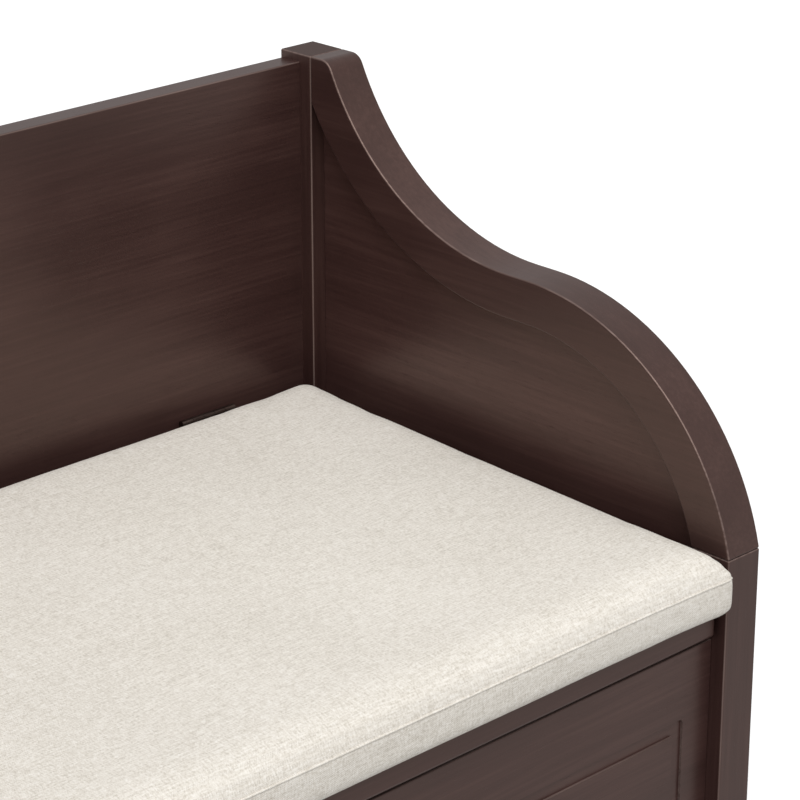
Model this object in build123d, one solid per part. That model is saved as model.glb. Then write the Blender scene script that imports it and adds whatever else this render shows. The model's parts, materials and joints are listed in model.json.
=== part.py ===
from build123d import *
from math import cos, radians, sin
import os

# Storage bench: two frame-and-panel ends with S-shaped arms, a box seat under a
# hinged lid, a plain backrest board and one full-length cushion.
# Millimetres. X runs along the bench, the front faces -Y, Z is up from the floor.
# The origin is on the floor, in the middle of the bench's outer size.

# ---- overall size -------------------------------------------------------------
LENGTH = 1067.0
DEPTH = 518.0            # front face of the legs to rear face of the posts
HEIGHT = 772.0
STOCK = 38.0             # square section of posts and legs, width of every side rail
EASE = 1.5               # rounding on the edges of all the boards
CUSHION_OVERHANG = 8.0   # how far the cushion stands proud of the legs

Y_FRONT = -(DEPTH - CUSHION_OVERHANG) / 2
Y_REAR = Y_FRONT + DEPTH
Y_LEG_BACK = Y_FRONT + STOCK
Y_POST_FRONT = Y_REAR - STOCK
X_OUTER = LENGTH / 2
X_INNER = X_OUTER - STOCK
GLIDE_HEIGHT = 3.0

# ---- S-shaped arm: three tangent arcs and a short level run ---------------------
LEG_TOP = 456.0
START_ANGLE = 77.0       # slope of the arm where it leaves the front leg
CREST_RADIUS = 229.0
LEVEL_RUN = 22.0
HOLLOW_RADIUS = 233.0
HOLLOW_ANGLE = 64.0      # slope of the arm where it turns over to the post's top
INNER_HOLLOW_ANGLE = 70.0    # the lower edge is drawn on past the post's front face

# ---- side frames ----------------------------------------------------------------
PANEL_THICKNESS = 9.0
PANEL_RECESS = 15.0      # inner face of a side panel behind the frame's inner face
TONGUE = 6.0             # how far a side panel runs into its frame
TONGUE_PLAY = 0.3
ARM_PANEL_TOP = 738.0    # just over the highest corner of the arm panel's opening
SEAT_RAIL_TOP = 388.0
SEAT_RAIL_HEIGHT = 48.0
BOTTOM_RAIL_BASE = 60.0
BOTTOM_RAIL_HEIGHT = 60.0

# ---- boards of the box and the backrest -------------------------------------------
BACKREST_THICKNESS = 22.0
BACKREST_INSET = 2.0     # rear face of the backrest in front of the posts' rear face
BACKREST_DROP = 7.0      # top of the backrest below the top of the posts
BACKREST_BASE = 340.0
BOX_BASE = 80.0
BACK_PANEL_THICKNESS = 12.0
FRONT_PANEL_THICKNESS = 18.0
FRONT_PANEL_SETBACK = 14.0
FRONT_PANEL_TOP = 384.0
CLEAT = 18.0
FLOOR_THICKNESS = 9.0
CORNER_BLOCK = 24.0
FRONT_BLOCK_TOP = 382.0
RAIL_SCREW_X = (-440.0, -220.0, 0.0, 220.0, 440.0)
FLOOR_SCREW_X = (-400.0, -133.0, 133.0, 400.0)
LEDGE_SCREW_Y = (-140.0, 0.0, 140.0)
BUMPER_X = (-430.0, 430.0)

# ---- dowels ------------------------------------------------------------------------
END_DOWEL_RADIUS = 4.0
END_DOWEL_LENGTH = 40.0
END_DOWEL_OFFSET = 12.0      # dowel pairs sit this far either side of a rail's middle
ARM_DOWEL_DROP = 11.0        # the arm's dowel into the post, under the post's top
BOARD_DOWEL_RADIUS = 3.0
BOARD_DOWEL_LENGTH = 36.0
GROOVE_CLEARANCE = 2.0       # the front panel's dowels sit behind its middle, clear of the groove
FRONT_PANEL_DOWELS_Z = (120.0, 228.0, 335.0)
BACK_PANEL_DOWELS_Z = (120.0, 215.0, 310.0)
BACKREST_DOWELS_Z = (400.0, 560.0, 720.0)

# ---- routed rectangle on the front panel -------------------------------------------
GROOVE_WIDTH = 12.0
GROOVE_DEPTH = 2.2
GROOVE_CORNER = 4.0
GROOVE_SIDE_MARGIN = 38.0    # frame's inner face to the middle of the groove
GROOVE_TOP_Z = 318.5         # middle of the upper run
GROOVE_BOTTOM_Z = 138.0      # middle of the lower run

# ---- lid, hinges and cushion ----------------------------------------------------
LID_BASE = 389.0
LID_THICKNESS = 23.0
LID_END_GAP = 3.0
LID_SETBACK = 8.0
LID_ROUNDING = 3.5
LID_BACK_GAP = 6.6           # rear edge of the lid to the backrest
LID_RAIL_DEPTH = 20.0
LID_RAIL_HEIGHT = 38.0
LID_RAIL_TOP = 386.0
KNUCKLE_RADIUS = 3.2
PIN_RADIUS = 1.5
PIN_PLAY = 0.05
LEAF_THICKNESS = 2.0
LEAF_HEIGHT = 34.0
LEAF_WIDTH = 60.0
LEAF_FOOT = 36.0             # reach of the long leaf under the lid
KNUCKLES = 5
KNUCKLE_GAP = 0.3
HINGE_SCREW_LENGTH = 16.0
AXIS_BELOW_CUSHION_TOP = 5.0
HINGE_X = (-380.0, 0.0, 380.0)
BATTEN_X = (-250.0, 250.0)
BATTEN_WIDTH = 45.0
BATTEN_THICKNESS = 18.0
BATTEN_END_GAP = 21.0        # between a batten's ends and the box's front panel and lid rail
BATTEN_SCREW_INSET = 40.0
CUSHION_THICKNESS = 64.0
CUSHION_END_GAP = 2.5
CUSHION_BACK_GAP = 8.0
CUSHION_TOP_ROUNDING = 10.0
CUSHION_BOTTOM_ROUNDING = 7.0
AIR = 0.3                    # under the soft cushion, and over the bumpers

Y_BACKREST_REAR = Y_REAR - BACKREST_INSET
Y_BACKREST = Y_BACKREST_REAR - BACKREST_THICKNESS
Y_BACK_PANEL = Y_BACKREST_REAR - BACK_PANEL_THICKNESS
Y_FRONT_PANEL = Y_FRONT + FRONT_PANEL_SETBACK
Y_BOX_FRONT = Y_FRONT_PANEL + FRONT_PANEL_THICKNESS
Y_LID_RAIL = Y_BACKREST - LID_RAIL_DEPTH
Y_LID_BACK = Y_BACKREST - LID_BACK_GAP
LID_TOP = LID_BASE + LID_THICKNESS
Y_HINGE = Y_BACKREST - KNUCKLE_RADIUS
Z_HINGE = LID_TOP + CUSHION_THICKNESS - AXIS_BELOW_CUSHION_TOP
SIDES = {"left": -1, "right": 1}


def block(x_low, x_high, y_low, y_high, z_low, z_high):
    """A rectangular board between two opposite corners."""
    size = (x_high - x_low, y_high - y_low, z_high - z_low)
    middle = ((x_low + x_high) / 2, (y_low + y_high) / 2, (z_low + z_high) / 2)
    return Pos(*middle) * Box(*size)


def eased(board, radius=EASE):
    """The same board with every edge rounded."""
    return fillet(board.edges(), radius)


def rod(start, direction, length, radius):
    """A round rod from a start point along a direction."""
    return Plane(origin=start, z_dir=direction) * Pos(0, 0, length / 2) * Cylinder(radius, length)


def on_side(shape, side):
    """Shapes are drawn for the right-hand end; the left-hand end is their mirror image."""
    return shape if side > 0 else mirror(shape, about=Plane.YZ)


def write(name, *solids):
    """One STEP file for one node; a group of identical pieces goes in as separate solids."""
    shape = solids[0] if len(solids) == 1 else Compound(children=list(solids))
    shape.label = name
    export_step(shape, f"parts/{name}.step")


# ---- side frames ------------------------------------------------------------------

def under_arm(inset):
    """Everything below the arm's S-curve, with the curve moved in by `inset`."""
    crest = (Y_FRONT + CREST_RADIUS * sin(radians(START_ANGLE)),
             LEG_TOP - CREST_RADIUS * cos(radians(START_ANGLE)))
    crest_radius = CREST_RADIUS - inset
    crest_z = crest[1] + crest_radius
    hollow = (crest[0] + LEVEL_RUN, crest[1] + CREST_RADIUS + HOLLOW_RADIUS)
    hollow_radius = HOLLOW_RADIUS + inset
    hollow_angle = HOLLOW_ANGLE if inset == 0 else INNER_HOLLOW_ANGLE
    hollow_end = (hollow[0] + hollow_radius * sin(radians(hollow_angle)),
                  hollow[1] - hollow_radius * cos(radians(hollow_angle)))
    start = (crest[0] - crest_radius, crest[1])
    edges = [
        CenterArc(crest, crest_radius, 180, -90),
        Line((crest[0], crest_z), (hollow[0], crest_z)),
        CenterArc(hollow, hollow_radius, 270, hollow_angle),
    ]
    if inset == 0:
        shoulder_radius = (HEIGHT - hollow_end[1]) / (1 - cos(radians(hollow_angle)))
        shoulder = (hollow_end[0] + shoulder_radius * sin(radians(hollow_angle)),
                    HEIGHT - shoulder_radius)
        edges.append(CenterArc(shoulder, shoulder_radius, 90 + hollow_angle, -hollow_angle))
        end = (Y_REAR, HEIGHT)
        edges.append(Line((shoulder[0], HEIGHT), end))
    else:
        end = hollow_end
    edges.append(Polyline(end, (end[0], 0), (start[0], 0), start))
    return Plane.YZ * make_face(Curve() + edges)


def side_slab(y_low, y_high, z_low, z_high):
    """A slab across the whole end frame, used to cut the curved shapes to length."""
    return block(0, X_OUTER + STOCK, y_low, y_high, z_low, z_high)


def across(face, x_low, x_high):
    """A side-view outline given thickness along the bench."""
    return extrude(Pos(x_low, 0, 0) * face, amount=x_high - x_low, dir=(1, 0, 0))


def arm_rail():
    """S-shaped top rail, standing on the front leg and butted against the post."""
    solid = across(under_arm(0), X_INNER, X_OUTER) - across(under_arm(STOCK), X_INNER - 1, X_OUTER + 1)
    solid = solid & side_slab(Y_FRONT - 1, Y_POST_FRONT, LEG_TOP, HEIGHT + 1)
    return eased(solid.solid())


def panel_shape(z_low, z_high, reach, play):
    """A side panel that runs `reach` into the rails, posts and legs around its opening."""
    x_low = X_INNER + PANEL_RECESS - play
    x_high = x_low + PANEL_THICKNESS + 2 * play
    grown = reach + play
    opening = side_slab(Y_LEG_BACK - grown, Y_POST_FRONT + grown, z_low - grown, z_high + grown)
    return (across(under_arm(STOCK - grown), x_low, x_high) & opening).solid()


def end_dowels():
    """Dowels that join the rails, the arm, the leg and the post of one end."""
    length = END_DOWEL_LENGTH
    x_middle = (X_INNER + X_OUTER) / 2
    z_post = HEIGHT - ARM_DOWEL_DROP
    starts = [((x_middle, Y_POST_FRONT - length / 2, z_post), (0, 1, 0))]
    for y in (Y_FRONT + END_DOWEL_OFFSET, Y_LEG_BACK - END_DOWEL_OFFSET):
        starts.append(((x_middle, y, LEG_TOP - length / 2), (0, 0, 1)))
    seat_rail_middle = SEAT_RAIL_TOP - SEAT_RAIL_HEIGHT / 2
    bottom_rail_middle = BOTTOM_RAIL_BASE + BOTTOM_RAIL_HEIGHT / 2
    for middle in (seat_rail_middle, bottom_rail_middle):
        for z in (middle - END_DOWEL_OFFSET, middle + END_DOWEL_OFFSET):
            for y in (Y_LEG_BACK, Y_POST_FRONT):
                starts.append(((x_middle, y - length / 2, z), (0, 1, 0)))
    return [rod(start, direction, length, END_DOWEL_RADIUS) for start, direction in starts]


def board_dowels():
    """Dowels that join the front panel, back panel and backrest to one end frame."""
    y_front = Y_FRONT_PANEL + FRONT_PANEL_THICKNESS / 2 + GROOVE_CLEARANCE
    y_back = Y_BACK_PANEL + BACK_PANEL_THICKNESS / 2
    places = [(y_front, z) for z in FRONT_PANEL_DOWELS_Z]
    places += [(y_back, z) for z in BACK_PANEL_DOWELS_Z + BACKREST_DOWELS_Z]
    x_start = X_INNER - BOARD_DOWEL_LENGTH / 2
    return [rod((x_start, y, z), (1, 0, 0), BOARD_DOWEL_LENGTH, BOARD_DOWEL_RADIUS) for y, z in places]


def cut(piece, tools):
    """The piece with the holes or slots that the tools fill."""
    for tool in tools:
        piece = piece - tool
    return piece


def end_frame():
    """Every piece of the right-hand end, by name."""
    upper = (SEAT_RAIL_TOP, ARM_PANEL_TOP)
    lower = (BOTTOM_RAIL_BASE + BOTTOM_RAIL_HEIGHT, SEAT_RAIL_TOP - SEAT_RAIL_HEIGHT)
    slots = [panel_shape(*zone, TONGUE, TONGUE_PLAY) for zone in (upper, lower)]
    joints = end_dowels() + board_dowels()
    post = eased(block(X_INNER, X_OUTER, Y_POST_FRONT, Y_REAR, GLIDE_HEIGHT, HEIGHT))
    leg = eased(block(X_INNER, X_OUTER, Y_FRONT, Y_LEG_BACK, GLIDE_HEIGHT, LEG_TOP))
    seat_rail = block(X_INNER, X_OUTER, Y_LEG_BACK, Y_POST_FRONT,
                      SEAT_RAIL_TOP - SEAT_RAIL_HEIGHT, SEAT_RAIL_TOP)
    bottom_rail = block(X_INNER, X_OUTER, Y_LEG_BACK, Y_POST_FRONT, BOTTOM_RAIL_BASE,
                        BOTTOM_RAIL_BASE + BOTTOM_RAIL_HEIGHT)
    pieces = {
        "rear_post": cut(post, slots + joints),
        "front_leg": cut(leg, slots + joints),
        "arm_rail": cut(arm_rail(), slots + joints),
        "side_seat_rail": cut(seat_rail, slots + joints),
        "side_bottom_rail": cut(bottom_rail, slots + joints),
        "arm_panel": panel_shape(*upper, TONGUE, 0),
        "side_panel": panel_shape(*lower, TONGUE, 0),
    }
    return pieces


# ---- box and backrest ------------------------------------------------------------

def routed_groove():
    """What a straight cutter removes as it goes once round a rectangle."""
    half_width = GROOVE_WIDTH / 2
    x = X_INNER - GROOVE_SIDE_MARGIN
    rings = []
    for reach in (half_width, -half_width):
        rings.append(block(-x - reach, x + reach, Y_FRONT_PANEL - 1, Y_FRONT_PANEL + GROOVE_DEPTH,
                           GROOVE_BOTTOM_Z - reach, GROOVE_TOP_Z + reach))
    outer, inner = rings
    return fillet(outer.edges().filter_by(Axis.Y), GROOVE_CORNER) - inner


def countersunk_screw(point, direction, length):
    """A wood screw driven from `point` along `direction`."""
    head_radius = 3.2
    head_depth = 1.9
    shank_radius = 1.6
    head = Pos(0, 0, head_depth / 2) * Cone(head_radius, shank_radius, head_depth)
    shank = Pos(0, 0, length / 2) * Cylinder(shank_radius, length)
    return Plane(origin=point, z_dir=direction) * (head + shank)


def box_boards():
    """The boards, cleats and blocks between the two ends, by name."""
    joints = board_dowels()
    joints += [mirror(dowel, about=Plane.YZ) for dowel in joints]
    z_floor = BOX_BASE + CLEAT
    y_floor_cleat = Y_BACK_PANEL - CLEAT
    front = eased(block(-X_INNER, X_INNER, Y_FRONT_PANEL, Y_BOX_FRONT, BOX_BASE, FRONT_PANEL_TOP), 0.8)
    backrest = block(-X_INNER, X_INNER, Y_BACKREST, Y_BACKREST_REAR, BACKREST_BASE, HEIGHT - BACKREST_DROP)
    backrest = fillet(backrest.edges().filter_by(Axis.X), EASE)
    back = block(-X_INNER, X_INNER, Y_BACK_PANEL, Y_BACKREST_REAR, BOX_BASE, BACKREST_BASE)
    brace_half = STOCK / 2
    return {
        "front_panel": cut(front - routed_groove(), joints),
        "box_back_panel": cut(back, joints),
        "backrest_board": cut(backrest, joints),
        "box_floor": block(-X_INNER, X_INNER, Y_BOX_FRONT, Y_BACK_PANEL, z_floor, z_floor + FLOOR_THICKNESS),
        "front_floor_cleat": block(-X_INNER, X_INNER, Y_BOX_FRONT, Y_BOX_FRONT + CLEAT, BOX_BASE, z_floor),
        "rear_floor_cleat": block(-X_INNER, X_INNER, y_floor_cleat, Y_BACK_PANEL, BOX_BASE, z_floor),
        "floor_brace": block(-brace_half, brace_half, Y_BOX_FRONT + CLEAT, y_floor_cleat, BOX_BASE, z_floor),
        "rear_lid_rail": eased(block(-X_INNER, X_INNER, Y_LID_RAIL, Y_BACKREST,
                                     LID_RAIL_TOP - LID_RAIL_HEIGHT, LID_RAIL_TOP), 1.0),
    }


def side_cleat():
    """Ledge on the inside of one end that carries the end of the lid."""
    y_low = Y_BOX_FRONT + CORNER_BLOCK
    return block(X_INNER - CLEAT, X_INNER, y_low, Y_LID_RAIL, SEAT_RAIL_TOP - STOCK, SEAT_RAIL_TOP)


def corner_block(y_low, z_high):
    """Glue block in one corner of the box."""
    z_low = BOX_BASE + CLEAT + FLOOR_THICKNESS
    return block(X_INNER - CORNER_BLOCK, X_INNER, y_low, y_low + CORNER_BLOCK, z_low, z_high)


def floor_glides():
    """One plastic disc under each leg and post."""
    radius = 13.0
    x = (X_INNER + X_OUTER) / 2
    glides = []
    for side in SIDES.values():
        for y in (Y_FRONT + STOCK / 2, Y_REAR - STOCK / 2):
            disc = Pos(side * x, y, GLIDE_HEIGHT / 2) * Cylinder(radius, GLIDE_HEIGHT)
            glides.append(fillet(disc.edges().sort_by(Axis.Z)[0], 1.2))
    return glides


def lid_bumpers():
    """Rubber buttons on the front panel's top edge that stop the lid."""
    radius = 5.0
    height = LID_BASE - AIR - FRONT_PANEL_TOP
    y = Y_FRONT_PANEL + FRONT_PANEL_THICKNESS / 2
    return [Pos(x, y, FRONT_PANEL_TOP + height / 2) * Cylinder(radius, height) for x in BUMPER_X]


# ---- lid and hinges -----------------------------------------------------------------

def knuckle_spans(x_middle, owner):
    """X ranges of the knuckles that belong to the frame leaf (0) or the lid leaf (1)."""
    pitch = LEAF_WIDTH / KNUCKLES
    first = x_middle - LEAF_WIDTH / 2
    spans = []
    for number in range(KNUCKLES):
        if number % 2 == owner:
            low = first + number * pitch + KNUCKLE_GAP / 2
            spans.append((low, low + pitch - KNUCKLE_GAP))
    return spans


def backrest_leaf_screws(x_middle):
    """Three screws through the short leaf into the backrest board."""
    y = Y_BACKREST - LEAF_THICKNESS
    places = ((-20, 12), (0, 24), (20, 12))
    points = [(x_middle + x, y, Z_HINGE - drop) for x, drop in places]
    return [countersunk_screw(point, (0, 1, 0), HINGE_SCREW_LENGTH) for point in points]


def lid_leaf_screws(x_middle):
    """Three screws through the foot of the long leaf, up into the lid."""
    z = LID_BASE - LEAF_THICKNESS
    places = ((-20, 12), (0, 26), (20, 12))
    points = [(x_middle + x, Y_LID_BACK - inset, z) for x, inset in places]
    return [countersunk_screw(point, (0, 0, 1), HINGE_SCREW_LENGTH) for point in points]


def hinge_leaf(x_middle, owner, y_low, z_low):
    """Upright plate with its rolled knuckles, which the pin's hole runs through."""
    half = LEAF_WIDTH / 2
    z_shoulder = Z_HINGE - KNUCKLE_RADIUS - KNUCKLE_GAP
    y_high = y_low + LEAF_THICKNESS
    leaf = block(x_middle - half, x_middle + half, y_low, y_high, z_low, z_shoulder)
    for low, high in knuckle_spans(x_middle, owner):
        leaf += block(low, high, y_low, y_high, z_shoulder, Z_HINGE)
        leaf += rod((low, Y_HINGE, Z_HINGE), (1, 0, 0), high - low, KNUCKLE_RADIUS)
    bore_start = (x_middle - half - 1, Y_HINGE, Z_HINGE)
    return leaf - rod(bore_start, (1, 0, 0), LEAF_WIDTH + 2, PIN_RADIUS + PIN_PLAY)


def backrest_hinge_leaf(x_middle):
    """Short leaf, flat on the front of the backrest board."""
    leaf = hinge_leaf(x_middle, 0, Y_BACKREST - LEAF_THICKNESS, Z_HINGE - LEAF_HEIGHT)
    return cut(leaf, backrest_leaf_screws(x_middle))


def lid_hinge_leaf(x_middle):
    """Long leaf: down behind the cushion, past the lid's rear edge and forward under it."""
    half = LEAF_WIDTH / 2
    y_low = Y_HINGE - KNUCKLE_RADIUS
    foot_base = LID_BASE - LEAF_THICKNESS
    leaf = hinge_leaf(x_middle, 1, y_low, foot_base)
    leaf += block(x_middle - half, x_middle + half, Y_LID_BACK - LEAF_FOOT, y_low + LEAF_THICKNESS,
                  foot_base, LID_BASE)
    return cut(leaf, lid_leaf_screws(x_middle))


def hinge_pin(x_middle):
    """Straight pin through the knuckles of one hinge."""
    return rod((x_middle - LEAF_WIDTH / 2, Y_HINGE, Z_HINGE), (1, 0, 0), LEAF_WIDTH, PIN_RADIUS)


def lid_board():
    """Flat lid with rounded edges."""
    half = X_INNER - LID_END_GAP
    board = eased(block(-half, half, Y_FRONT + LID_SETBACK, Y_LID_BACK, LID_BASE, LID_TOP), LID_ROUNDING)
    return cut(board, [screw for x in HINGE_X for screw in lid_leaf_screws(x)])


def lid_batten(x_middle):
    """Batten across the underside that keeps the lid flat."""
    half = BATTEN_WIDTH / 2
    return block(x_middle - half, x_middle + half, Y_BOX_FRONT + BATTEN_END_GAP, Y_LID_RAIL - BATTEN_END_GAP,
                 LID_BASE - BATTEN_THICKNESS, LID_BASE)


def batten_screws():
    """Screws driven up through the battens into the lid."""
    inset = BATTEN_END_GAP + BATTEN_SCREW_INSET
    z = LID_BASE - BATTEN_THICKNESS
    points = [(x, y, z) for x in BATTEN_X for y in (Y_BOX_FRONT + inset, 0, Y_LID_RAIL - inset)]
    return [countersunk_screw(point, (0, 0, 1), 30) for point in points]


def rail_screws():
    """Screws through the backrest board into the rear lid rail."""
    z = LID_RAIL_TOP - LID_RAIL_HEIGHT / 2
    return [countersunk_screw((x, Y_BACKREST_REAR, z), (0, -1, 0), 36) for x in RAIL_SCREW_X]


def floor_screws():
    """Screws through the box floor into the cleats under it."""
    top = BOX_BASE + CLEAT + FLOOR_THICKNESS
    rows = (Y_BOX_FRONT + CLEAT / 2, Y_BACK_PANEL - CLEAT / 2)
    return [countersunk_screw((x, y, top), (0, 0, -1), 22) for y in rows for x in FLOOR_SCREW_X]


def cleat_screws():
    """Screws through one side ledge into the seat rail beside it."""
    z = SEAT_RAIL_TOP - STOCK / 2
    return [countersunk_screw((X_INNER - CLEAT, y, z), (1, 0, 0), 34) for y in LEDGE_SCREW_Y]


def seat_cushion():
    """Box cushion, at the size it has lying on the lid."""
    half = X_INNER - CUSHION_END_GAP
    z_low = LID_TOP + AIR
    pad = block(-half, half, Y_FRONT - CUSHION_OVERHANG, Y_BACKREST - CUSHION_BACK_GAP,
                z_low, LID_TOP + CUSHION_THICKNESS)
    top_edges = pad.faces().sort_by(Axis.Z)[-1].edges()
    pad = fillet(top_edges, CUSHION_TOP_ROUNDING)
    bottom_edges = pad.faces().sort_by(Axis.Z)[0].edges()
    return fillet(bottom_edges, CUSHION_BOTTOM_ROUNDING)


def main():
    os.makedirs("parts", exist_ok=True)
    for side, sign in SIDES.items():
        ledge_screws = cleat_screws()
        ends = end_frame()
        ends["side_seat_rail"] = cut(ends["side_seat_rail"], ledge_screws)
        ends["lid_ledge"] = cut(side_cleat(), ledge_screws)
        ends["front_corner_block"] = corner_block(Y_BOX_FRONT, FRONT_BLOCK_TOP)
        ends["rear_corner_block"] = corner_block(Y_BACK_PANEL - CORNER_BLOCK, BACKREST_BASE)
        for name, piece in ends.items():
            write(f"{side}_{name}", on_side(piece, sign))
        write(f"{side}_end_dowels", *[on_side(dowel, sign) for dowel in end_dowels()])
        write(f"{side}_board_dowels", *[on_side(dowel, sign) for dowel in board_dowels()])
        write(f"{side}_ledge_screws", *[on_side(screw, sign) for screw in ledge_screws])

    boards = box_boards()
    backrest_screws = [screw for x in HINGE_X for screw in backrest_leaf_screws(x)]
    boards["rear_lid_rail"] = cut(boards["rear_lid_rail"], rail_screws())
    boards["backrest_board"] = cut(boards["backrest_board"], rail_screws() + backrest_screws)
    for name in ("box_floor", "front_floor_cleat", "rear_floor_cleat"):
        boards[name] = cut(boards[name], floor_screws())
    for name, board in boards.items():
        write(name, board)

    write("lid_board", cut(lid_board(), batten_screws()))
    write("left_lid_batten", cut(lid_batten(BATTEN_X[0]), batten_screws()))
    write("right_lid_batten", cut(lid_batten(BATTEN_X[1]), batten_screws()))
    write("lid_batten_screws", *batten_screws())
    write("lid_hinge_leaves", *[lid_hinge_leaf(x) for x in HINGE_X])
    write("backrest_hinge_leaves", *[backrest_hinge_leaf(x) for x in HINGE_X])
    write("hinge_pins", *[hinge_pin(x) for x in HINGE_X])
    write("lid_hinge_screws", *[screw for x in HINGE_X for screw in lid_leaf_screws(x)])
    write("backrest_hinge_screws", *backrest_screws)
    write("rear_lid_rail_screws", *rail_screws())
    write("box_floor_screws", *floor_screws())
    write("lid_bumpers", *lid_bumpers())
    write("floor_glides", *floor_glides())
    write("seat_cushion", seat_cushion())


main()
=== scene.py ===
import json
from math import copysign, cos, exp, pi, radians, sin

import bmesh
import bpy
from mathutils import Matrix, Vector, noise
from mathutils.bvhtree import BVHTree


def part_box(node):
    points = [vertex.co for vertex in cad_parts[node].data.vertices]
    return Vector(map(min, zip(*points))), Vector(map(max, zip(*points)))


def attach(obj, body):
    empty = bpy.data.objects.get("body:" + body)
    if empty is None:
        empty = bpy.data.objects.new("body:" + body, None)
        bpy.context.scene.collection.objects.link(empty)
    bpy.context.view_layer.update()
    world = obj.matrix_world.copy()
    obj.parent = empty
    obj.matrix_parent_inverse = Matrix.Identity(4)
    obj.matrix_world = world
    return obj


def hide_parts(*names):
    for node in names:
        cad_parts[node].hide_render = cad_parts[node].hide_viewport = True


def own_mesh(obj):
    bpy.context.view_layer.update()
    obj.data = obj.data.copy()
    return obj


# Storage bench: espresso-stained wood around a light linen box cushion.
# Metres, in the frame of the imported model: the front faces -Y, Z is up.

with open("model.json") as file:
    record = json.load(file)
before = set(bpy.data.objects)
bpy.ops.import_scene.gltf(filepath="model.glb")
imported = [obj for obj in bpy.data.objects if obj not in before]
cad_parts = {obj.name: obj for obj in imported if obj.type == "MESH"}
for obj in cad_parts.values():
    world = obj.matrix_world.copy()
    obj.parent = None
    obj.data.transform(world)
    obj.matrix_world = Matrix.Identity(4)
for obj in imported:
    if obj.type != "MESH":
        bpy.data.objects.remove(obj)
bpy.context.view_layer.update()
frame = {"nodes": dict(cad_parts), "record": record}

# ---- camera, placed from the inner front top corner of the right front leg ------------
VIEW_AZIMUTH = 44.19            # degrees round from +Y towards +X
VIEW_ELEVATION = 21.47          # degrees down from level
VIEW_DISTANCE = 2.325
VIEW_AIM_LEFT = 0.258           # the middle of the picture, left of that corner
VIEW_AIM_UP = 0.127
LENS = 133.4                    # millimetres, as is the sensor
SENSOR = 36.0
NEAREST_SEEN = 0.05

# ---- light -----------------------------------------------------------------------------
WORLD_STRENGTH = 0.55           # what lights the bench
BACKDROP_STRENGTH = 1.0         # what the camera sees behind it
KEY_STRENGTH = 2.35
KEY_SPREAD = 60.0               # degrees across the soft overhead light
KEY_PLACE = (-0.5, -0.8, 1.5)   # the direction it shines from
FLOOR_HALF = 14.0
FLOOR_GLOW = 0.1
FLOOR_ROUGHNESS = 0.9
FLOOR_SHADES = ((0.88, 0.88, 0.88, 1.0), (0.92, 0.92, 0.92, 1.0))
FLOOR_MOTTLE = 2.0
WHITE = (1.0, 1.0, 1.0, 1.0)

# ---- noise -----------------------------------------------------------------------------
MID_NOISE = (0.3, 0.7)          # where nearly all of a noise texture's values lie

# ---- stained wood ------------------------------------------------------------------------
WOOD_STAINS = (
    (0.023, 0.0105, 0.0098),
    (0.037, 0.0175, 0.0160),
    (0.062, 0.0320, 0.0280),
)
# painted highlight: the light colour laid on rounded edges and groove walls, where they catch the light
WOOD_EDGE_HIGHLIGHT = (0.170, 0.125, 0.112, 1.0)
WOOD_IOR = 1.7
WOOD_SHEEN_TINT = (1.0, 0.70, 0.59, 1.0)
WOOD_ROUGHNESS = (0.28, 0.40)
END_GRAIN_DULLNESS = 0.2
PANEL_PAINTED_LIGHT = 1.22               # painted light: the arm panels' stain is made lighter, standing in for the light that falls on them
FIGURE_GRAIN = (2.2, 26.0)      # noise scale along the grain, and across it
STREAK_GRAIN = (9.0, 330.0)
PORE_GRAIN = (70.0, 1500.0)
BLOTCH_SCALE = 4.0
PORE_START = 0.66               # only the highest pore noise opens into a pore
PORE_FULL = 0.74
FIGURE_SHARE = 0.36             # what each layer adds to the tone
STREAK_SHARE = 0.36
BLOTCH_SHARE = 0.28
PORE_SHARE = -0.10
END_GRAIN_SHARE = -0.30
WOOD_TONES = (0.34, 0.66)       # the summed tone that the stains are spread over
HIGHLIGHT_PATCHES = (0.2, 0.9)       # least and most painted highlight along an edge
STREAK_RELIEF = 0.6             # depth of the streaks against that of the pores
WOOD_RELIEF = 0.00005
BOARD_SHIFT = (1.37, 2.11, 0.73)    # moves the figure on from one board to the next
SIDE_FRAME_PIECES = ("arm_rail", "arm_panel")    # matched stock: they share one figure

# How a piece is worked settles where its edges and groove walls get a painted highlight.
PLAIN, BOARD, CURVED, ROUTED = range(4)
WORKING = {
    "lid_board": PLAIN,
    "front_panel": ROUTED,
    "left_arm_rail": CURVED,
    "right_arm_rail": CURVED,
}

# ---- hardware ------------------------------------------------------------------------------
BRONZE = ((0.120, 0.090, 0.080, 1.0), (0.170, 0.130, 0.115, 1.0))
BRONZE_GRAIN = (40.0, 900.0, 900.0)
ZINC = ((0.46, 0.46, 0.43, 1.0), (0.70, 0.69, 0.64, 1.0))
ZINC_GRAIN = (500.0, 500.0, 500.0)
METAL_ROUGHNESS = (0.26, 0.42)
METAL_RELIEF = 0.00002
BEECH = ((0.42, 0.26, 0.13, 1.0), (0.66, 0.48, 0.29, 1.0))
BEECH_GRAIN = (160.0, 900.0, 900.0)
BEECH_ROUGHNESS = (0.55, 0.75)
BEECH_RELIEF = 0.00008
RUBBER = ((0.02, 0.02, 0.02, 1.0), (0.05, 0.05, 0.05, 1.0))
RUBBER_ROUGHNESS = 0.75
PLASTIC = ((0.03, 0.025, 0.022, 1.0), (0.07, 0.06, 0.055, 1.0))
PLASTIC_ROUGHNESS = 0.5
MOULDED_GRAIN = 1400.0
MOULDED_MOTTLE = 90.0
MOULDED_UNEVENNESS = 0.08       # how far the roughness strays either way
MOULDED_RELIEF = 0.0001

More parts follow.
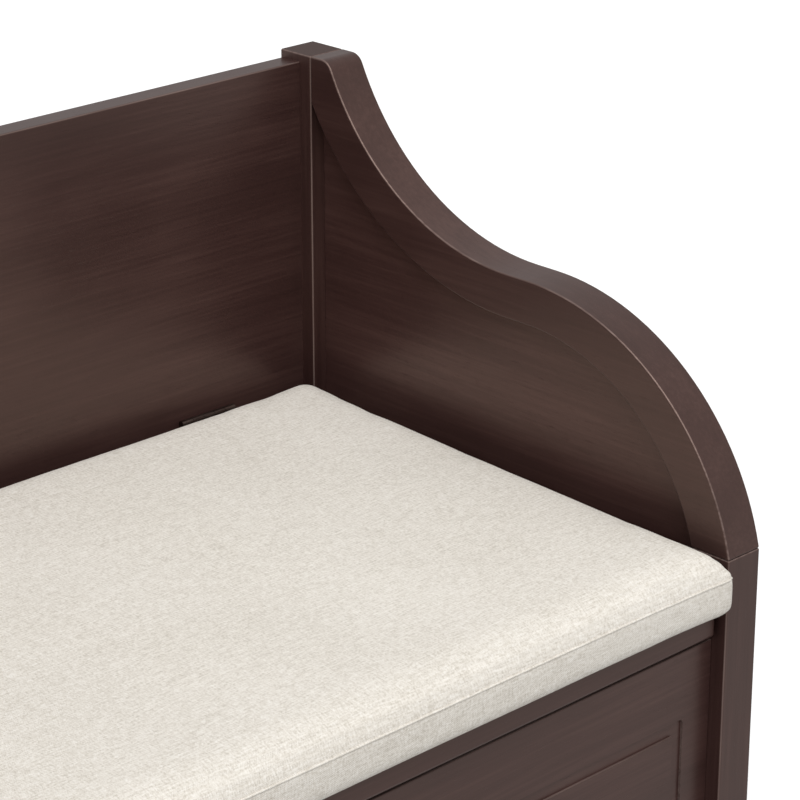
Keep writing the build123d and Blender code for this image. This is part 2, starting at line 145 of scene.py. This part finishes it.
# ---- linen -----------------------------------------------------------------------------------
LINEN = ((0.570, 0.525, 0.455, 1.0), (0.735, 0.690, 0.620, 1.0), (0.850, 0.815, 0.755, 1.0))
LINEN_TONES = (0.40, 0.60)
LINEN_ROUGHNESS = (0.78, 0.92)
SLUB_GRAIN = (95.0, 800.0, 800.0)
CROSS_SLUB_GRAIN = (800.0, 120.0, 120.0)
FLECK_SCALE = 520.0
DRIFT_SCALE = 7.0
SLUB_SHARE = 0.30
CROSS_SLUB_SHARE = 0.22
FLECK_SHARE = 0.40
DRIFT_SHARE = 0.08
THREAD_PITCH = 0.0016
THREAD_SHARE = 0.35             # height of the weave against that of the flecks
LINEN_RELIEF = 0.00035
LINEN_SHEEN = 0.12
LINEN_SHEEN_ROUGHNESS = 0.5

# ---- cushion -----------------------------------------------------------------------------
VOXEL = 0.006
GRID = 0.006                # spacing of the points that the cover is drawn from
WELD = 0.00002              # points closer than this are joined
PRESSURE = 4.0
CLOTH_QUALITY = 4
SIMULATED_FRAMES = 20
SWELL_LIMIT = 0.003
START_INSET = 0.0025        # the cover starts this much smaller, all round
SEAM_RISE = 0.033           # seam above the lid
FRONT_CROWN = 0.0210        # top above the seam, before it swells
REAR_CROWN = 0.0385
FRONT_SHOULDER = 0.007      # how gently the top rises from the seam
SIDE_SHOULDER = 0.0035
REAR_SHOULDER = 0.004
BOTTOM_RISE = 0.0035        # the lower edge curls up this much
BOTTOM_SHOULDER = 0.003
CORNER_ROUNDING = 0.004
CORNER_FLARE = 0.0170       # the front corners spread this far sideways
CORNER_FORWARD = CORNER_FLARE / 4
CORNER_SHARPNESS = 40       # high powers keep a change close to the cushion's edge
FLARE_START = 0.015         # the spread begins this far behind the legs' front
LEG_CLEARANCE = 0.005       # only what is this far in front of the legs may spread past them
PULL_IN = 0.0020            # the sides draw in this far between the corners
FRONT_REACH = 0.0062        # the front edge is drawn out this far
FRONT_SHARPNESS = 8
REAR_REACH = 0.0028         # and the back edge this far
REAR_SHARPNESS = 20
REAR_LIMIT = 0.0012         # furthest it may stand behind its solid, short of the hinges
WAVE_SCALE = 9.0            # gentle unevenness of the stuffing
WAVE_LAYER = 0.4
TOP_WAVE = 0.0012
FRONT_WAVE = 0.0007
FRONT_BAND = -0.9           # nearer the front than this, as a share of half the depth
AIR = 0.0004                # between the cushion and the lid
WELT_RADIUS = 0.0011
WELT_PINCH = 0.86           # the welt's radius at every other stitch
WELT_SIDES = 8
WELT_ROUNDING = CORNER_ROUNDING * 1.5
STITCH = 0.0042
SEAM_SEARCH = 0.04          # the seam is looked for from this far outside the cushion
SEAM_SEARCH_LENGTH = 0.1


# ---- node helpers ------------------------------------------------------------------------

def new_material(name):
    """An empty principled material: the material, its node tree and its shader."""
    material = bpy.data.materials.new(name)
    material.use_nodes = True
    tree = material.node_tree
    return material, tree, tree.nodes["Principled BSDF"]


def feed(tree, socket, value):
    """Links a socket to an output, or sets it to a number."""
    if isinstance(value, (int, float)):
        socket.default_value = value
    else:
        tree.links.new(value, socket)


def calculate(tree, operation, first, second=0.0):
    """One math node."""
    node = tree.nodes.new("ShaderNodeMath")
    node.operation = operation
    feed(tree, node.inputs[0], first)
    feed(tree, node.inputs[1], second)
    return node.outputs[0]


def stretched_noise(tree, shift, scale, detail=4.0, roughness=0.55):
    """Noise in the object's own space, with its own scale along each axis."""
    place = tree.nodes.new("ShaderNodeTexCoord")
    mapping = tree.nodes.new("ShaderNodeMapping")
    mapping.inputs["Location"].default_value = shift
    mapping.inputs["Scale"].default_value = scale
    texture = tree.nodes.new("ShaderNodeTexNoise")
    texture.inputs["Scale"].default_value = 1.0
    texture.inputs["Detail"].default_value = detail
    texture.inputs["Roughness"].default_value = roughness
    tree.links.new(place.outputs["Object"], mapping.inputs["Vector"])
    tree.links.new(mapping.outputs["Vector"], texture.inputs["Vector"])
    return texture.outputs["Fac"]


def spread(tree, value, low, high, to_low=0.0, to_high=1.0):
    """Maps a range of values onto another one, clamped."""
    node = tree.nodes.new("ShaderNodeMapRange")
    tree.links.new(value, node.inputs["Value"])
    node.inputs["From Min"].default_value = low
    node.inputs["From Max"].default_value = high
    node.inputs["To Min"].default_value = to_low
    node.inputs["To Max"].default_value = to_high
    return node.outputs["Result"]


def colour_ramp(tree, value, *colours):
    """Evenly spaced colours along 0 to 1."""
    ramp = tree.nodes.new("ShaderNodeValToRGB")
    elements = ramp.color_ramp.elements
    while len(elements) < len(colours):
        elements.new(0.5)
    for number, colour in enumerate(colours):
        elements[number].position = number / (len(colours) - 1)
        elements[number].color = colour
    tree.links.new(value, ramp.inputs["Fac"])
    return ramp.outputs["Color"]


def relief(tree, shader, height, depth):
    """Bump from a height of 0 to 1 over a real depth."""
    node = tree.nodes.new("ShaderNodeBump")
    node.inputs["Distance"].default_value = depth
    tree.links.new(height, node.inputs["Height"])
    tree.links.new(node.outputs["Normal"], shader.inputs["Normal"])


# ---- materials ---------------------------------------------------------------------------

def grain_scale(axis, grain):
    """Noise scales for a grain that runs along one axis."""
    along, across = grain
    scale = [across, across, across]
    scale[axis] = along
    return scale


def even_scale(scale):
    """The same noise scale along every axis."""
    return (scale, scale, scale)


def facing_shares(tree):
    """How squarely a surface faces along X, Y and Z, from 0 to 1."""
    place = tree.nodes.new("ShaderNodeTexCoord")
    facing = tree.nodes.new("ShaderNodeSeparateXYZ")
    tree.links.new(place.outputs["Normal"], facing.inputs[0])
    return [calculate(tree, "ABSOLUTE", facing.outputs[axis]) for axis in range(3)]


def painted_highlight_mask(tree, shares, working):
    """1 where a piece gets a painted highlight, 0 where it doesn't, judged by how squarely it faces each
    way.
    """
    if working == ROUTED:
        front = shares[1]
        return spread(tree, front, 0.9, 0.3)     # the walls of the groove face away from the front
    if working == CURVED:
        side = shares[0]
        slant = calculate(tree, "ABSOLUTE", calculate(tree, "SUBTRACT", side, 0.5))
        return spread(tree, slant, 0.48, 0.25)   # only the rounded edges face half sideways
    flattest = calculate(tree, "MAXIMUM", shares[0], calculate(tree, "MAXIMUM", shares[1], shares[2]))
    return spread(tree, flattest, 0.985, 0.85)   # rounded edges face no way squarely


def lighter(colour, painted_light):
    """A stain colour made lighter by a factor."""
    return tuple(part * painted_light for part in colour) + (1.0,)


def layered_tone(tree, layers):
    """The sum of several patterns, each with its own share."""
    tone = 0.0
    for part, share in layers:
        tone = calculate(tree, "ADD", tone, calculate(tree, "MULTIPLY", part, share))
    return tone


def painted_edge_highlight(tree, stain, shares, streaks, working):
    """The stain with a painted highlight on its edges, uneven along the grain."""
    # painted highlight on the edges, mixed into the stain
    highlight = tree.nodes.new("ShaderNodeMix")
    highlight.data_type = "RGBA"
    highlight.inputs["B"].default_value = WOOD_EDGE_HIGHLIGHT
    patches = spread(tree, streaks, *MID_NOISE, *HIGHLIGHT_PATCHES)
    highlighted = calculate(tree, "MULTIPLY", painted_highlight_mask(tree, shares, working), patches)
    tree.links.new(highlighted, highlight.inputs["Factor"])
    tree.links.new(stain, highlight.inputs["A"])
    return highlight.outputs["Result"]


def stained_wood(name, axis, number, working, painted_light):
    """Dark stain under satin lacquer; end grain and open pores come out darker."""
    material, tree, shader = new_material(name)
    shift = tuple(number * step for step in BOARD_SHIFT)
    figure = stretched_noise(tree, shift, grain_scale(axis, FIGURE_GRAIN), detail=3.0)
    streaks = stretched_noise(tree, shift, grain_scale(axis, STREAK_GRAIN), detail=5.0, roughness=0.6)
    pores = stretched_noise(tree, shift, grain_scale(axis, PORE_GRAIN), detail=2.0)
    blotches = stretched_noise(tree, shift, even_scale(BLOTCH_SCALE), detail=3.0)
    shares = facing_shares(tree)
    open_pores = spread(tree, pores, PORE_START, PORE_FULL)
    end_grain = 0.0 if working == CURVED else spread(tree, shares[axis], 0.9, 1.0)
    layers = (
        (figure, FIGURE_SHARE),
        (streaks, STREAK_SHARE),
        (blotches, BLOTCH_SHARE),
        (open_pores, PORE_SHARE),
        (end_grain, END_GRAIN_SHARE),
    )
    tone = spread(tree, layered_tone(tree, layers), *WOOD_TONES)
    stain = colour_ramp(tree, tone, *(lighter(colour, painted_light) for colour in WOOD_STAINS))
    if working != PLAIN:
        stain = painted_edge_highlight(tree, stain, shares, streaks, working)
    tree.links.new(stain, shader.inputs["Base Color"])
    dull = calculate(tree, "MULTIPLY", end_grain, END_GRAIN_DULLNESS)
    roughness = calculate(tree, "ADD", spread(tree, blotches, *MID_NOISE, *WOOD_ROUGHNESS), dull)
    tree.links.new(roughness, shader.inputs["Roughness"])
    height = calculate(tree, "SUBTRACT", calculate(tree, "MULTIPLY", streaks, STREAK_RELIEF), open_pores)
    relief(tree, shader, height, WOOD_RELIEF)
    shader.inputs["IOR"].default_value = WOOD_IOR
    shader.inputs["Specular Tint"].default_value = WOOD_SHEEN_TINT
    return material


def bare_wood(name):
    """Pale turned beech."""
    material, tree, shader = new_material(name)
    streaks = stretched_noise(tree, (0, 0, 0), BEECH_GRAIN)
    colour = colour_ramp(tree, spread(tree, streaks, *MID_NOISE), *BEECH)
    tree.links.new(colour, shader.inputs["Base Color"])
    tree.links.new(spread(tree, streaks, *MID_NOISE, *BEECH_ROUGHNESS), shader.inputs["Roughness"])
    relief(tree, shader, streaks, BEECH_RELIEF)
    return material


def metal(name, shades, scale):
    """Metal with fine scratches and a slightly uneven tone."""
    material, tree, shader = new_material(name)
    scratches = stretched_noise(tree, (0, 0, 0), scale, detail=5.0)
    tone = spread(tree, scratches, *MID_NOISE)
    tree.links.new(colour_ramp(tree, tone, *shades), shader.inputs["Base Color"])
    tree.links.new(spread(tree, scratches, *MID_NOISE, *METAL_ROUGHNESS), shader.inputs["Roughness"])
    relief(tree, shader, scratches, METAL_RELIEF)
    shader.inputs["Metallic"].default_value = 1.0
    return material


def moulded(name, shades, roughness):
    """Matt rubber or plastic with a fine moulded grain."""
    material, tree, shader = new_material(name)
    grain = stretched_noise(tree, (0, 0, 0), even_scale(MOULDED_GRAIN), detail=3.0)
    mottle = stretched_noise(tree, (0, 0, 0), even_scale(MOULDED_MOTTLE))
    tree.links.new(colour_ramp(tree, mottle, *shades), shader.inputs["Base Color"])
    smoothest = roughness - MOULDED_UNEVENNESS
    roughest = roughness + MOULDED_UNEVENNESS
    tree.links.new(spread(tree, mottle, *MID_NOISE, smoothest, roughest), shader.inputs["Roughness"])
    relief(tree, shader, grain, MOULDED_RELIEF)
    return material


def woven_height(tree, pitch):
    """Over-and-under threads on every face of a boxy piece, chosen by the face's own direction."""
    place = tree.nodes.new("ShaderNodeTexCoord")
    position = tree.nodes.new("ShaderNodeSeparateXYZ")
    tree.links.new(place.outputs["Object"], position.inputs[0])
    shares = facing_shares(tree)
    waves = []
    for axis in range(3):
        turns = calculate(tree, "MULTIPLY", position.outputs[axis], 2 * pi / pitch)
        waves.append(calculate(tree, "SINE", turns))
    height = None
    for axis in range(3):
        crossing = calculate(tree, "MULTIPLY", waves[(axis + 1) % 3], waves[(axis + 2) % 3])
        part = calculate(tree, "MULTIPLY", crossing, shares[axis])
        height = part if height is None else calculate(tree, "ADD", height, part)
    return height


def linen(name):
    """Light beige plain weave: slubs along the bench, weaker ones across it, and a soft uneven tone."""
    material, tree, shader = new_material(name)
    slubs = stretched_noise(tree, (0.3, 0.1, 0.7), SLUB_GRAIN, detail=3.0, roughness=0.65)
    cross_slubs = stretched_noise(tree, (0.9, 0.4, 0.2), CROSS_SLUB_GRAIN, detail=3.0, roughness=0.65)
    flecks = stretched_noise(tree, (0.2, 0.8, 0.5), even_scale(FLECK_SCALE), detail=4.0, roughness=0.7)
    drift = stretched_noise(tree, (0.5, 0.2, 0.9), even_scale(DRIFT_SCALE), detail=3.0)
    layers = (
        (slubs, SLUB_SHARE),
        (cross_slubs, CROSS_SLUB_SHARE),
        (flecks, FLECK_SHARE),
        (drift, DRIFT_SHARE),
    )
    tone = spread(tree, layered_tone(tree, layers), *LINEN_TONES)
    tree.links.new(colour_ramp(tree, tone, *LINEN), shader.inputs["Base Color"])
    tree.links.new(spread(tree, slubs, *MID_NOISE, *LINEN_ROUGHNESS), shader.inputs["Roughness"])
    threads = calculate(tree, "MULTIPLY", woven_height(tree, THREAD_PITCH), THREAD_SHARE)
    height = calculate(tree, "ADD", threads, calculate(tree, "ADD", flecks, cross_slubs))
    relief(tree, shader, height, LINEN_RELIEF)
    shader.inputs["Sheen Weight"].default_value = LINEN_SHEEN
    shader.inputs["Sheen Roughness"].default_value = LINEN_SHEEN_ROUGHNESS
    return material


def dress(node, material):
    """Puts one material in every slot of a node's object."""
    slots = node.material_slots
    if not slots:
        node.data.materials.append(material)
    for material_slot in slots:
        material_slot.material = material


def longest_axis(node):
    """The axis a board is longest along, which its grain follows."""
    low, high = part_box(node)
    size = high - low
    return max(range(3), key=lambda axis: size[axis])


def dress_nodes(fabric):
    """Every node of the frame gets the finish that the record gives it."""
    finishes = {
        "hinge_steel": metal("hinge_steel", BRONZE, BRONZE_GRAIN),
        "zinc_screw": metal("zinc_screw", ZINC, ZINC_GRAIN),
        "beech_dowel": bare_wood("beech_dowel"),
        "bumper_rubber": moulded("bumper_rubber", RUBBER, RUBBER_ROUGHNESS),
        "glide_plastic": moulded("glide_plastic", PLASTIC, PLASTIC_ROUGHNESS),
        "linen_fabric": fabric,
    }
    for number, subpart in enumerate(frame["record"]["subparts"]):
        node = subpart["node"]
        finish = finishes.get(subpart["material_slot"])
        if finish is None:
            figure = 0 if node.endswith(SIDE_FRAME_PIECES) else number
            # the arm panels get painted light, a lighter stain in place of the light on them
            painted_light = PANEL_PAINTED_LIGHT if node.endswith("arm_panel") else 1.0
            working = WORKING.get(node, BOARD)
            finish = stained_wood(f"wood_{node}", longest_axis(node), figure, working, painted_light)
        dress(frame["nodes"][node], finish)


# ---- cushion -------------------------------------------------------------------------------

def add_object(name, mesh):
    """A mesh as an object in the scene."""
    item = bpy.data.objects.new(name, mesh)
    bpy.context.scene.collection.objects.link(item)
    return item


def bake_modifiers(item):
    """Applies every modifier of an object to its mesh."""
    depsgraph = bpy.context.evaluated_depsgraph_get()
    mesh = bpy.data.meshes.new_from_object(item.evaluated_get(depsgraph), depsgraph=depsgraph)
    item.modifiers.clear()
    item.data = mesh


def rise(distance, shoulder):
    """0 at an edge, 1 well inside it."""
    return 1 - exp(-max(distance, 0.0) / shoulder)


def inside_corner(across, deep, half_x, half_y):
    """A point of a rectangle, moved in if it lies outside the rectangle's rounded corner."""
    corner_x = half_x - CORNER_ROUNDING
    corner_y = half_y - CORNER_ROUNDING
    over = Vector((abs(across) - corner_x, abs(deep) - corner_y))
    if min(over) > 0 and over.length > CORNER_ROUNDING:
        over = over.normalized() * CORNER_ROUNDING
        across = copysign(corner_x + over.x, across)
        deep = copysign(corner_y + over.y, deep)
    return across, deep


def steps_across(half):
    """Evenly spaced numbers from -half to half."""
    count = round(2 * half / GRID)
    return [half * (2 * number / count - 1) for number in range(count + 1)]


def cushion_shell(low, high):
    """Thin upright band below the seam, and above it a puffed top that is steepest at its edges."""
    middle = (low + high) / 2
    half_x = (high.x - low.x) / 2 - START_INSET
    half_y = (high.y - low.y) / 2 - START_INSET
    columns = steps_across(half_x)
    rows = steps_across(half_y)
    shell = bmesh.new()
    layers = ([], [])
    for y_start in rows:
        for x_start in columns:
            x, y = inside_corner(x_start, y_start, half_x, half_y)
            crown = FRONT_CROWN + (REAR_CROWN - FRONT_CROWN) * (y + half_y) / (2 * half_y)
            side = half_x - abs(x)
            front_puff = rise(y + half_y, FRONT_SHOULDER)
            side_puff = rise(side, SIDE_SHOULDER)
            rear_puff = rise(half_y - y, REAR_SHOULDER)
            puff = min(front_puff, side_puff) * rear_puff
            curl = 1 - rise(min(side, half_y - abs(y)), BOTTOM_SHOULDER)
            top = low.z + SEAM_RISE + crown * puff
            bottom = low.z + BOTTOM_RISE * curl
            for layer, z in zip(layers, (top, bottom)):
                layer.append(shell.verts.new((middle.x + x, middle.y + y, z)))
    width = len(columns)
    for row in range(len(rows) - 1):
        for column in range(width - 1):
            corner = row * width + column
            ring = (corner, corner + 1, corner + width + 1, corner + width)
            shell.faces.new([layers[0][spot] for spot in ring])
            shell.faces.new([layers[1][spot] for spot in reversed(ring)])
    last = (len(rows) - 1) * width
    rim = list(range(width)) + [width * row + width - 1 for row in range(1, len(rows))]
    rim += [last + column for column in range(width - 2, -1, -1)]
    rim += [width * row for row in range(len(rows) - 2, 0, -1)]
    for spot, following in zip(rim, rim[1:] + rim[:1]):
        shell.faces.new((layers[1][spot], layers[1][following], layers[0][following], layers[0][spot]))
    bmesh.ops.remove_doubles(shell, verts=shell.verts, dist=WELD)
    mesh = bpy.data.meshes.new("linen_cushion")
    shell.to_mesh(mesh)
    shell.free()
    return mesh


def inflate(cushion):
    """Swells the cover with air pressure and caps how far each point moves."""
    scene = bpy.context.scene
    start = [vert.co.copy() for vert in cushion.data.vertices]
    cloth = cushion.modifiers.new("Cloth", "CLOTH")
    cloth.settings.quality = CLOTH_QUALITY
    cloth.settings.use_pressure = True
    cloth.settings.uniform_pressure_force = PRESSURE
    cloth.settings.effector_weights.gravity = 0.0
    cloth.point_cache.frame_start = 1
    cloth.point_cache.frame_end = SIMULATED_FRAMES
    for number in range(1, SIMULATED_FRAMES + 1):
        scene.frame_set(number)
    bake_modifiers(cushion)
    scene.frame_set(1)
    for vert, origin in zip(cushion.data.vertices, start):
        move = vert.co - origin
        if move.length > SWELL_LIMIT:
            vert.co = origin + move.normalized() * SWELL_LIMIT


def settle(cushion, low, high):
    """Draws the sides in between the corners, adds gentle unevenness and keeps the cushion in its space."""
    middle = (low + high) / 2
    half = (high - low) / 2
    leg_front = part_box("right_front_leg")[0].y
    for vert in cushion.data.vertices:
        point = vert.co
        across = (point.x - middle.x) / half.x
        deep = (point.y - middle.y) / half.y
        point.y -= PULL_IN * deep ** 3 * max(0.0, 1 - across ** 8)
        point.x -= PULL_IN * across ** 5 * max(0.0, 1 - deep ** 4)
        if deep > 0:
            point.y += REAR_REACH * deep ** REAR_SHARPNESS
        else:
            point.y -= FRONT_REACH * deep ** FRONT_SHARPNESS
        corner = across ** CORNER_SHARPNESS * rise(leg_front - point.y + FLARE_START, FLARE_START)
        point.x += copysign(CORNER_FLARE, across) * corner
        point.y -= CORNER_FORWARD * corner
        wave = noise.noise(Vector((point.x * WAVE_SCALE, point.y * WAVE_SCALE, WAVE_LAYER)))
        if point.z > low.z + SEAM_RISE:
            point.z += TOP_WAVE * wave * (1 - deep ** 10)
        elif deep < FRONT_BAND:
            point.y += FRONT_WAVE * wave
        point.z = max(point.z, low.z + AIR)
        if point.y > leg_front - LEG_CLEARANCE:
            point.x = min(max(point.x, low.x), high.x)
        point.y = min(point.y, high.y + REAR_LIMIT)


def seam_path(cushion, low, high):
    """Points and outward directions once round the cushion at its seam, found on its surface."""
    depsgraph = bpy.context.evaluated_depsgraph_get()
    surface = BVHTree.FromObject(cushion, depsgraph)
    middle = (low + high) / 2
    half = (high - low) / 2
    points = []
    for spot, outward in rounded_rectangle(half.x, half.y, WELT_ROUNDING):
        on_outline = Vector((middle.x + spot.x, middle.y + spot.y, low.z + SEAM_RISE))
        origin = on_outline + outward * SEAM_SEARCH
        place, normal, _, _ = surface.ray_cast(origin, -outward, SEAM_SEARCH_LENGTH)
        if place is not None:
            points.append((place, normal))
    return points


def rounded_rectangle(half_x, half_y, rounding):
    """Evenly spaced points round a rectangle with rounded corners, with their outward directions."""
    places = []
    straight_x = 2 * (half_x - rounding)
    straight_y = 2 * (half_y - rounding)
    corners = ((1, -1), (1, 1), (-1, 1), (-1, -1))
    runs = (straight_x, straight_y, straight_x, straight_y)
    for number, (corner, run) in enumerate(zip(corners, runs)):
        heading = number * pi / 2
        outward = Vector((sin(heading), -cos(heading), 0))
        along = Vector((cos(heading), sin(heading), 0))
        centre = Vector((corner[0] * (half_x - rounding), corner[1] * (half_y - rounding), 0))
        steps = round(run / STITCH)
        for step in range(steps):
            spot = centre + outward * rounding - along * (run - step * run / steps)
            places.append((spot, outward))
        turn_steps = round(rounding * pi / 2 / STITCH)
        for step in range(turn_steps):
            angle = heading - pi / 2 + step * pi / 2 / turn_steps
            direction = Vector((cos(angle), sin(angle), 0))
            places.append((centre + direction * rounding, direction))
    return places


def welt(name, path):
    """A thin rolled seam laid half into the cover, drawn in a little at every stitch."""
    shell = bmesh.new()
    rings = []
    for number, (place, normal) in enumerate(path):
        ahead = path[(number + 1) % len(path)][0]
        behind = path[number - 1][0]
        along = (ahead - behind).normalized()
        across = along.cross(normal).normalized()
        pinch = WELT_PINCH if number % 2 else 1.0
        ring = []
        for side in range(WELT_SIDES):
            angle = 2 * pi * side / WELT_SIDES
            offset = normal * cos(angle) + across * sin(angle)
            ring.append(shell.verts.new(place + offset * WELT_RADIUS * pinch))
        rings.append(ring)
    for number, ring in enumerate(rings):
        following = rings[(number + 1) % len(rings)]
        for side in range(WELT_SIDES):
            beside = (side + 1) % WELT_SIDES
            shell.faces.new((ring[side], following[side], following[beside], ring[beside]))
    bmesh.ops.recalc_face_normals(shell, faces=shell.faces)
    mesh = bpy.data.meshes.new(name)
    shell.to_mesh(mesh)
    shell.free()
    item = add_object(name, mesh)
    shade_smooth(item)
    return item


def shade_smooth(item):
    """Smooth shading all over."""
    item.data.polygons.foreach_set("use_smooth", [True] * len(item.data.polygons))


def make_cushion(fabric):
    """The box cushion and its seam."""
    low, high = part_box("seat_cushion")
    cushion = add_object("linen_cushion", cushion_shell(low, high))
    remesh = cushion.modifiers.new("Remesh", "REMESH")
    remesh.mode = "VOXEL"
    remesh.voxel_size = VOXEL
    bake_modifiers(cushion)
    inflate(cushion)
    settle(cushion, low, high)
    subdivision = cushion.modifiers.new("Subdivision", "SUBSURF")
    subdivision.levels = 1
    subdivision.render_levels = 1
    bake_modifiers(cushion)
    shade_smooth(cushion)
    top_seam = welt("cushion_top_seam", seam_path(cushion, low, high))
    for item in (cushion, top_seam):
        item.data.materials.append(fabric)
        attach(item, "cushion")
    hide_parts("seat_cushion")
    for item in (cushion, top_seam):
        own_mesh(item)


# ---- stage ------------------------------------------------------------------------------

def make_floor():
    """Plain white studio floor."""
    mesh = bpy.data.meshes.new("studio_floor")
    corners = [(x * FLOOR_HALF, y * FLOOR_HALF, 0) for x, y in ((-1, -1), (1, -1), (1, 1), (-1, 1))]
    mesh.from_pydata(corners, [], [(0, 1, 2, 3)])
    floor = add_object("studio_floor", mesh)
    material, tree, shader = new_material("studio_floor")
    mottle = stretched_noise(tree, (0, 0, 0), even_scale(FLOOR_MOTTLE))
    tree.links.new(colour_ramp(tree, mottle, *FLOOR_SHADES), shader.inputs["Base Color"])
    shader.inputs["Roughness"].default_value = FLOOR_ROUGHNESS
    shader.inputs["Emission Color"].default_value = WHITE
    shader.inputs["Emission Strength"].default_value = FLOOR_GLOW
    floor.data.materials.append(material)
    floor.visible_glossy = False
    floor.visible_diffuse = False


def make_light():
    """Dim white surroundings, which the camera sees as plain white, and one broad soft light from above."""
    scene = bpy.context.scene
    world = bpy.data.worlds.new("studio")
    world.use_nodes = True
    tree = world.node_tree
    background = tree.nodes["Background"]
    background.inputs["Color"].default_value = WHITE
    seen = tree.nodes.new("ShaderNodeLightPath").outputs["Is Camera Ray"]
    strength = spread(tree, seen, 0.0, 1.0, WORLD_STRENGTH, BACKDROP_STRENGTH)
    tree.links.new(strength, background.inputs["Strength"])
    scene.world = world
    lamp = bpy.data.lights.new("key_light", "SUN")
    lamp.energy = KEY_STRENGTH
    lamp.angle = radians(KEY_SPREAD)
    key = bpy.data.objects.new("key_light", lamp)
    key.rotation_euler = (-Vector(KEY_PLACE)).to_track_quat("-Z", "Y").to_euler()
    scene.collection.objects.link(key)
    scene.view_settings.view_transform = "Standard"


def make_camera():
    """Long lens from the left front, a little above the arm."""
    azimuth = radians(VIEW_AZIMUTH)
    elevation = radians(VIEW_ELEVATION)
    forward = Vector((sin(azimuth) * cos(elevation), cos(azimuth) * cos(elevation), -sin(elevation)))
    right = Vector((cos(azimuth), -sin(azimuth), 0))
    up = right.cross(forward)
    leg_low, leg_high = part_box("right_front_leg")
    corner = Vector((leg_low.x, leg_low.y, leg_high.z))
    data = bpy.data.cameras.new("camera")
    data.lens = LENS
    data.sensor_width = SENSOR
    data.clip_start = NEAREST_SEEN
    camera = bpy.data.objects.new("camera", data)
    camera.location = corner - forward * VIEW_DISTANCE - right * VIEW_AIM_LEFT + up * VIEW_AIM_UP
    camera.rotation_euler = forward.to_track_quat("-Z", "Y").to_euler()
    bpy.context.scene.collection.objects.link(camera)
    bpy.context.scene.camera = camera


linen_fabric = linen("linen_fabric")
dress_nodes(linen_fabric)
make_cushion(linen_fabric)
make_floor()
make_light()
make_camera()
